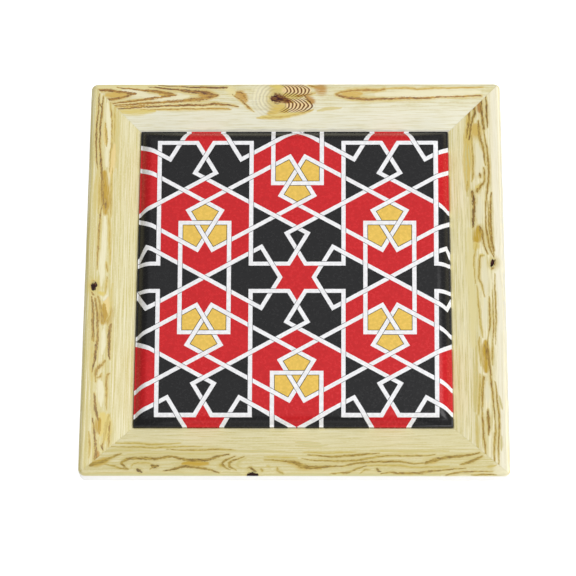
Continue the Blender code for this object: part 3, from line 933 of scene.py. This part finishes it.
def smooth_run(points):
    """A smooth curve through points, as short straight steps."""
    points = np.array(points, float)
    padded = np.vstack([2 * points[0] - points[1], points, 2 * points[-1] - points[-2]])
    run = []
    for a, b, c, d in zip(padded, padded[1:], padded[2:], padded[3:]):
        for t in np.arange(CURVE_STEPS) / CURVE_STEPS:
            bend = (2 * a - 5 * b + 4 * c - d) * t**2 + (3 * b - a - 3 * c + d) * t**3
            run.append(0.5 * (2 * b + (c - a) * t + bend))
    run.append(points[-1])
    return np.array(run)


def widths_along(width, count):
    """A stroke's width at count places: a single width thins towards both ends."""
    if not isinstance(width, tuple):
        width = (LINE_END * width, width, width, LINE_END * width)
    return np.interp(np.linspace(0, 1, count), np.linspace(0, 1, len(width)), width)


def nearness(at, run, reach):
    """1 on the run and 0 at its reach."""
    best = np.zeros(len(at))
    for i in range(len(run) - 1):
        way = run[i + 1] - run[i]
        share = np.clip((at - run[i]) @ way / (way @ way), 0, 1)
        gap = np.linalg.norm(at - run[i] - share[:, None] * way, axis=1)
        best = np.maximum(best, 1 - gap / (reach[i] + share * (reach[i + 1] - reach[i])))
    return best


def figure_values(at, figure):
    """What the figure paints at each point: (line, its tone, stain and painted shade, its tone)."""
    values = {kind: np.zeros(len(at)) for kind in ("line", "line_tone", "stain_and_shade", "stain_and_shade_tone")}
    for kind, tone, width, points in figure:
        run = smooth_run(points)
        reach = HALO[kind] * widths_along(width, len(run))
        near = ((at > run.min(0) - reach.max()) & (at < run.max(0) + reach.max())).all(1)
        held = np.where(near)[0]
        amount = nearness(at[held], run, reach)
        stronger = amount > values[kind][held]
        values[kind][held[stronger]] = amount[stronger]
        values[kind + "_tone"][held[stronger]] = tone
    return values


def waves(at, table):
    along, inset = at.T
    return sum(height * np.sin(a * along + b * inset + start) for height, a, b, start in table)


def wander(at):
    """Points shifted by small waves, so that no grain line runs quite true."""
    return at + np.column_stack([waves(at, ALONG_WAVES), waves(at, ACROSS_WAVES)])


def make_strip(side, quarter, material):
    """A border strip whose vertices carry its wood figure as attributes."""
    width = STRIP_WIDTHS[side]
    lean_left, lean_right = (STRIP_WIDTHS[end] / width for end in STRIP_ENDS[side])
    rows = strip_profile(width)
    turn = quarter * math.pi / 2
    spin = np.array([[math.cos(turn), math.sin(turn)], [-math.sin(turn), math.cos(turn)]])
    places, insets = [], []
    for inset, height in rows:
        corner = max(COASTER_CORNER - inset, STRIP_INNER_CORNER)
        left, right = COASTER_HALF - lean_left * inset, COASTER_HALF - lean_right * inset
        path = np.array(front_path(left, right, COASTER_HALF - inset, corner))
        path[:, 0] *= 1 - MITRE_GAP / 2 / COASTER_HALF
        places.append(np.column_stack([path @ spin, np.full(len(path), STRIP_FOOT + height)]))
        insets.append(np.full(len(path), inset))
    wide = COLUMNS + 1
    faces = []
    for row in range(len(rows)):
        lower, upper = row * wide, (row + 1) % len(rows) * wide
        faces.extend((lower + i, lower + i + 1, upper + i + 1, upper + i) for i in range(COLUMNS))
    faces.append([row * wide for row in range(len(rows))])
    faces.append([row * wide + COLUMNS for row in reversed(range(len(rows)))])
    places, insets = np.vstack(places), np.concatenate(insets)
    bm = bmesh.new()
    verts = [bm.verts.new(place) for place in places]
    for face in faces:
        bm.faces.new([verts[index] for index in face])
    mesh = smooth_mesh(side + "_strip", bm)
    mesh.set_sharp_from_angle(angle=SHARP_ANGLE)
    at = np.column_stack([places[:, quarter % 2], insets]) / MM + FIGURE_SHIFTS[side]
    values = figure_values(wander(at), FIGURES[side])
    # Paleness: the wood's tone, with painted shade and light on the left and right strips' outer rounds
    band_insets, band_values = zip(*PALENESS[side])
    values["pale"] = np.interp(at[:, 1], band_insets, band_values)
    if side == "back":
        values["ring_phase"], values["ring_depth"] = knot_rings(wander(at))
    for name, value in values.items():
        mesh.attributes.new(name, "FLOAT", "POINT").data.foreach_set("value", value)
    grain = np.column_stack([at, np.full(len(at), GRAIN_SPACING * quarter)])
    mesh.attributes.new("grain", "FLOAT_VECTOR", "POINT").data.foreach_set("vector", grain.ravel())
    return new_piece(side + "_strip", mesh, [material])


def srgb(red, green, blue):
    """A colour as a screen shows it, 0 to 255, in linear light."""
    parts = []
    for value in (red / 255, green / 255, blue / 255):
        parts.append(value / 12.92 if value <= 0.04045 else ((value + 0.055) / 1.055) ** 2.4)
    return (*parts, 1.0)


def blended(share, tones):
    """A colour part of the way from one tone to another."""
    return srgb(*(one + share * (two - one) for one, two in zip(*tones)))


class Finish:
    """A procedural material round one Principled shader."""

    def __init__(self, name):
        self.material = bpy.data.materials.new(name)
        self.material.use_nodes = True
        self.tree = self.material.node_tree
        self.shader = self.tree.nodes["Principled BSDF"]

    def put(self, socket, value):
        if isinstance(value, bpy.types.NodeSocket):
            self.tree.links.new(value, socket)
        else:
            socket.default_value = value

    def set(self, **values):
        for name, value in values.items():
            self.put(self.shader.inputs[name.replace("_", " ").title().replace("Ior", "IOR")], value)

    def node(self, kind, *values, **settings):
        made = self.tree.nodes.new("ShaderNode" + kind)
        for name, value in settings.items():
            setattr(made, name, value)
        for socket, value in zip(made.inputs, values):
            if value is not None:
                self.put(socket, value)
        return made

    def place(self):
        return self.node("TexCoord").outputs["Object"]

    def attribute(self, name, output="Fac"):
        return self.node("Attribute", attribute_name=name).outputs[output]

    def stretch(self, vector, scale):
        return self.node("Mapping", vector, None, None, scale).outputs[0]

    def named(self, kind, **values):
        """A node whose inputs are given by name."""
        made = self.node(kind)
        for name, value in values.items():
            self.put(made.inputs[name], value)
        return made

    def noise(self, vector, scale, detail, roughness=0.5):
        made = self.named("TexNoise", Vector=vector, Scale=scale, Detail=detail, Roughness=roughness)
        return made.outputs["Fac"]

    def math(self, kind, a, b):
        return self.node("Math", a, b, operation=kind).outputs[0]

    def times(self, a, b):
        return self.math("MULTIPLY", a, b)

    def spread(self, value, low, high, to_low=0.0, to_high=1.0):
        made = self.node("MapRange", value, low, high, to_low, to_high, interpolation_type="SMOOTHSTEP")
        return made.outputs[0]

    def mix(self, share, one, two):
        made = self.node("Mix", data_type="RGBA")
        for index, value in zip(MIX_INPUTS, (share, one, two)):
            self.put(made.inputs[index], value)
        return made.outputs[MIX_RESULT]

    def vary(self, noise, low, high):
        """A value from low to high that follows a noise."""
        return self.spread(noise, *NOISE_RANGE, low, high)

    def mottle(self, noise, one, two):
        """One colour where the noise is low, and another where it is high."""
        return self.mix(self.vary(noise, 0.0, 1.0), one, two)

    def ramp(self, value, *stops):
        made = self.node("ValToRGB", value)
        ends = made.color_ramp.elements
        while len(ends) < len(stops):
            ends.new(0.5)
        for end, (position, colour) in zip(ends, stops):
            end.position, end.color = position, colour
        return made.outputs[0]

    def bump(self, height, distance, strength):
        made = self.named("Bump", Height=height, Distance=distance, Strength=strength)
        self.put(self.shader.inputs["Normal"], made.outputs[0])


def glazed_ink(name, colour):
    finish = Finish(name + "_ink")
    fine = finish.noise(finish.place(), INK_GRAIN, 3.0)
    deep = tuple(0.93 * part for part in colour)
    light = tuple(1.06 * part for part in colour)
    tint = finish.mottle(fine, (*deep, 1), (*light, 1))
    finish.set(base_color=tint, roughness=finish.spread(fine, 0.25, 0.75, 0.2, 0.3), specular_ior_level=0.25)
    finish.bump(fine, 0.01 * MM, 0.5)
    return finish.material


def grain_noise(finish, along, across, detail, roughness):
    """Noise drawn out along the grain."""
    place = finish.stretch(finish.attribute("grain", "Vector"), (along, across, 1.0))
    return finish.noise(place, 1.0, detail, roughness)


def contours(finish, speckle):
    """Faint wavy contour lines, strongest towards the outside of a strip."""
    inset = finish.node("SeparateXYZ", finish.attribute("grain", "Vector")).outputs[1]
    swirl = finish.times(grain_noise(finish, *SWIRL), CONTOUR_SWIRL)
    turns = finish.math("ADD", swirl, finish.times(inset, CONTOUR_RATE))
    contour = finish.spread(finish.math("COSINE", turns, 0.0), 0.45, 0.95, 0.0, 0.55)
    contour = finish.times(contour, finish.spread(inset, 5.5, 8.5, 1.0, 0.25))
    return finish.times(contour, finish.spread(speckle, 0.35, 0.6, 0.1, 1.0))


def bare_wood(finish, side, fibre, speckle):
    """The wood between its lines and stains, with the painted shade and light that its paleness carries; the
    palest of it is the plainest.
    """
    # Paleness carries the wood's tone and painted shade and light near the left and right strips' outsides
    pale = finish.attribute("pale")
    base = finish.ramp(pale, *[(stop, srgb(*tone)) for stop, tone in zip(PALE_STOPS, BASE_TONES[side])])
    plain = finish.spread(pale, 0.6, 1.0, 1.0, 0.2)
    streak = finish.times(finish.spread(fibre, 0.45, 0.67, 0.0, 0.7), plain)
    base = finish.mix(streak, base, srgb(*STREAK_TONE))
    long = grain_noise(finish, *LONG_STREAK)
    dull = finish.times(finish.spread(long, 0.5, 0.66, 0.0, 0.7 * LONG_STREAKS[side]), plain)
    base = finish.mix(dull, base, srgb(*DULL_TONE))
    bright = finish.spread(long, 0.34, 0.5, 0.55 * LONG_STREAKS[side], 0.0)
    base = finish.mix(bright, base, srgb(*BRIGHT_TONE))
    fleck = finish.times(finish.spread(speckle, 0.46, 0.72, 0.0, 0.35), plain)
    base = finish.mix(fleck, base, srgb(*FLECK_TONE))
    return finish.mix(finish.times(contours(finish, speckle), plain), base, srgb(*CONTOUR_TONE))


def wood(side):
    """A strip's wood: the bare wood, then the halos of its lines, its stains and painted shade, and the
    lines themselves.
    """
    finish = Finish(side + "_wood")
    fibre = grain_noise(finish, *FIBRE)
    speckle = grain_noise(finish, *SPECKLE)
    colour = bare_wood(finish, side, fibre, speckle)
    rough = finish.math("ADD", finish.times(fibre, 0.4), finish.times(speckle, 0.6))
    broken = finish.spread(rough, 0.25, 0.75, 0.75, 1.25)
    near = finish.times(finish.attribute("line"), broken)
    halo = finish.spread(near, 0.05, 0.72, 0.0, 0.75)
    colour = finish.mix(halo, colour, blended(WARMTH[side], HALO_TONES))
    thread = grain_noise(finish, *THREAD)
    # The stains, and at tone 0.03 painted shade along the back strip's inner edge
    stain_and_shade_amount = finish.times(finish.attribute("stain_and_shade"), finish.vary(thread, 0.65, 1.3))
    stain_and_shade_amount = finish.spread(stain_and_shade_amount, 0.2, 0.85, 0.0, 0.95)
    stops = [(place, srgb(*tone)) for place, tone in STAIN_AND_SHADE_TONES]
    colour = finish.mix(stain_and_shade_amount, colour, finish.ramp(finish.attribute("stain_and_shade_tone"), *stops))
    inked = finish.spread(near, 0.66, 0.84)
    dark = finish.attribute("line_tone")
    depth = grain_noise(finish, *LINE_DEPTH)
    tone = finish.times(dark, finish.vary(depth, 0.62, 1.35))
    stops = [(place, blended(WARMTH[side], pair)) for place, *pair in LINE_TONES]
    colour = finish.mix(inked, colour, finish.ramp(tone, *stops))
    if side == "back":
        fan = finish.attribute("ring_depth")
        wave = finish.math("COSINE", finish.attribute("ring_phase"), 0.0)
        ringed = finish.times(finish.spread(wave, -0.2, 0.5), fan)
        colour = finish.mix(finish.times(ringed, broken), colour, srgb(*RING_TONE))
        dark = finish.math("MAXIMUM", dark, fan)
    gloss = finish.spread(dark, 0.75, 0.9, 0.5, 0.1)
    roughness = finish.vary(fibre, 0.38, 0.55)
    finish.set(base_color=colour, roughness=roughness, specular_ior_level=gloss)
    finish.bump(finish.math("SUBTRACT", fibre, finish.times(inked, 0.5)), 0.03 * MM, 0.6)
    return finish.material


def white_glaze():
    finish = Finish("white_glaze")
    fine = finish.noise(finish.place(), GLAZE_GRAIN, 3.0)
    body = finish.mottle(fine, srgb(230, 229, 226), srgb(235, 234, 231))
    finish.set(base_color=body, roughness=finish.vary(fine, 0.42, 0.55))
    finish.bump(fine, 0.004 * MM, 0.3)
    return finish.material


def cork():
    finish = Finish("cork")
    place = finish.place()
    cells = finish.node("TexVoronoi", place, None, CORK_GRAINS)
    edges = finish.node("TexVoronoi", place, None, CORK_GRAINS, feature="DISTANCE_TO_EDGE")
    grit = finish.noise(place, CORK_GRIT, 3.0)
    shade = finish.node("SeparateColor", cells.outputs["Color"]).outputs[0]
    body = finish.ramp(
        shade, (0.0, srgb(150, 104, 62)), (0.35, srgb(188, 142, 92)), (0.75, srgb(204, 162, 112)),
        (1.0, srgb(120, 78, 46)),
    )
    body = finish.mix(finish.spread(grit, 0.55, 0.75, 0.0, 0.6), body, srgb(108, 70, 42))
    seam = finish.spread(edges.outputs["Distance"], 0.0, 0.09, 1.0, 0.0)
    body = finish.mix(finish.times(seam, 0.6), body, srgb(96, 62, 38))
    finish.set(base_color=body, roughness=finish.vary(grit, 0.8, 0.95))
    finish.bump(finish.math("SUBTRACT", grit, seam), 0.12 * MM, 0.7)
    return finish.material


def adhesive_film():
    finish = Finish("adhesive_film")
    streak = finish.noise(finish.stretch(finish.place(), FILM_STREAKS), 1.0, 3.0)
    body = finish.mottle(streak, srgb(214, 208, 190), srgb(228, 224, 208))
    finish.set(base_color=body, roughness=finish.vary(streak, 0.35, 0.55))
    finish.bump(streak, 0.02 * MM, 0.5)
    return finish.material


def mastic():
    finish = Finish("mastic")
    place = finish.place()
    combed = finish.noise(finish.stretch(place, MASTIC_COMB), 1.0, 4.0)
    grit = finish.noise(place, MASTIC_GRIT, 2.0)
    body = finish.mottle(combed, srgb(190, 186, 176), srgb(214, 210, 200))
    body = finish.mix(finish.spread(grit, 0.6, 0.75, 0.0, 0.5), body, srgb(160, 154, 142))
    finish.set(base_color=body, roughness=finish.vary(grit, 0.6, 0.8))
    finish.bump(combed, 0.15 * MM, 0.6)
    return finish.material


def floor_paint():
    finish = Finish("floor_white")
    cloud = finish.noise(finish.place(), FLOOR_CLOUDS, 2.0)
    body = finish.mottle(cloud, (0.96, 0.96, 0.96, 1), (0.98, 0.98, 0.98, 1))
    finish.set(base_color=body, roughness=0.7, emission_color=body, emission_strength=0.6)
    return finish.material


def dress(piece, node):
    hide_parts(node)
    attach(piece, "root")


def add_camera():
    data = bpy.data.cameras.new("camera")
    data.sensor_fit = "HORIZONTAL"
    data.sensor_width = SENSOR_MM
    data.lens = FOCAL_PIXELS / IMAGE_SIDE * SENSOR_MM
    data.clip_start = CAMERA_NEAREST
    camera = bpy.data.objects.new("camera", data)
    turn = Matrix.Rotation(CAMERA_AZIMUTH, 3, "Z") @ Matrix.Rotation(math.pi / 2 - CAMERA_ELEVATION, 3, "X")
    turn = turn @ Matrix.Rotation(CAMERA_ROLL, 3, "Z")
    camera.location = CAMERA_TARGET + turn @ Vector((0, 0, CAMERA_DISTANCE))
    camera.rotation_euler = turn.to_euler()
    bpy.context.scene.collection.objects.link(camera)
    bpy.context.scene.camera = camera


def add_panel(name, place, size, radiance):
    """A soft panel light that faces the coaster."""
    data = bpy.data.lights.new(name, "AREA")
    data.shape = "RECTANGLE"
    data.size, data.size_y = size
    data.energy = radiance * math.pi * size[0] * size[1]
    light = bpy.data.objects.new(name, data)
    light.location = place
    light.rotation_euler = (-Vector(place)).to_track_quat("-Z", "Y").to_euler()
    bpy.context.scene.collection.objects.link(light)


def add_stage():
    bm = bmesh.new()
    bmesh.ops.create_grid(bm, x_segments=1, y_segments=1, size=FLOOR_HALF)
    mesh = bpy.data.meshes.new("floor")
    bm.to_mesh(mesh)
    bm.free()
    new_piece("floor", mesh, [floor_paint()])
    world = bpy.data.worlds.new("studio")
    bpy.context.scene.world = world
    world.use_nodes = True
    sky = world.node_tree.nodes["Background"]
    sky.inputs["Color"].default_value = (1, 1, 1, 1)
    sky.inputs["Strength"].default_value = SKY_STRENGTH
    for light in LIGHTS:
        add_panel(*light)


add_camera()
add_stage()
dress(make_tile([glazed_ink(name, colour) for name, colour in INKS.items()]), "ceramic_tile")
for quarter, side in enumerate(("front", "right", "back", "left")):
    dress(make_strip(side, quarter, wood(side)), side + "_border_strip")
dress(make_tray(white_glaze()), "white_tray")
dress(make_cork(cork()), "cork_pad")
dress(make_sheet(adhesive_film()), "cork_adhesive")
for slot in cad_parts["tile_bed"].material_slots:
    slot.material = mastic()
bpy.context.scene.view_settings.view_transform = "Standard"
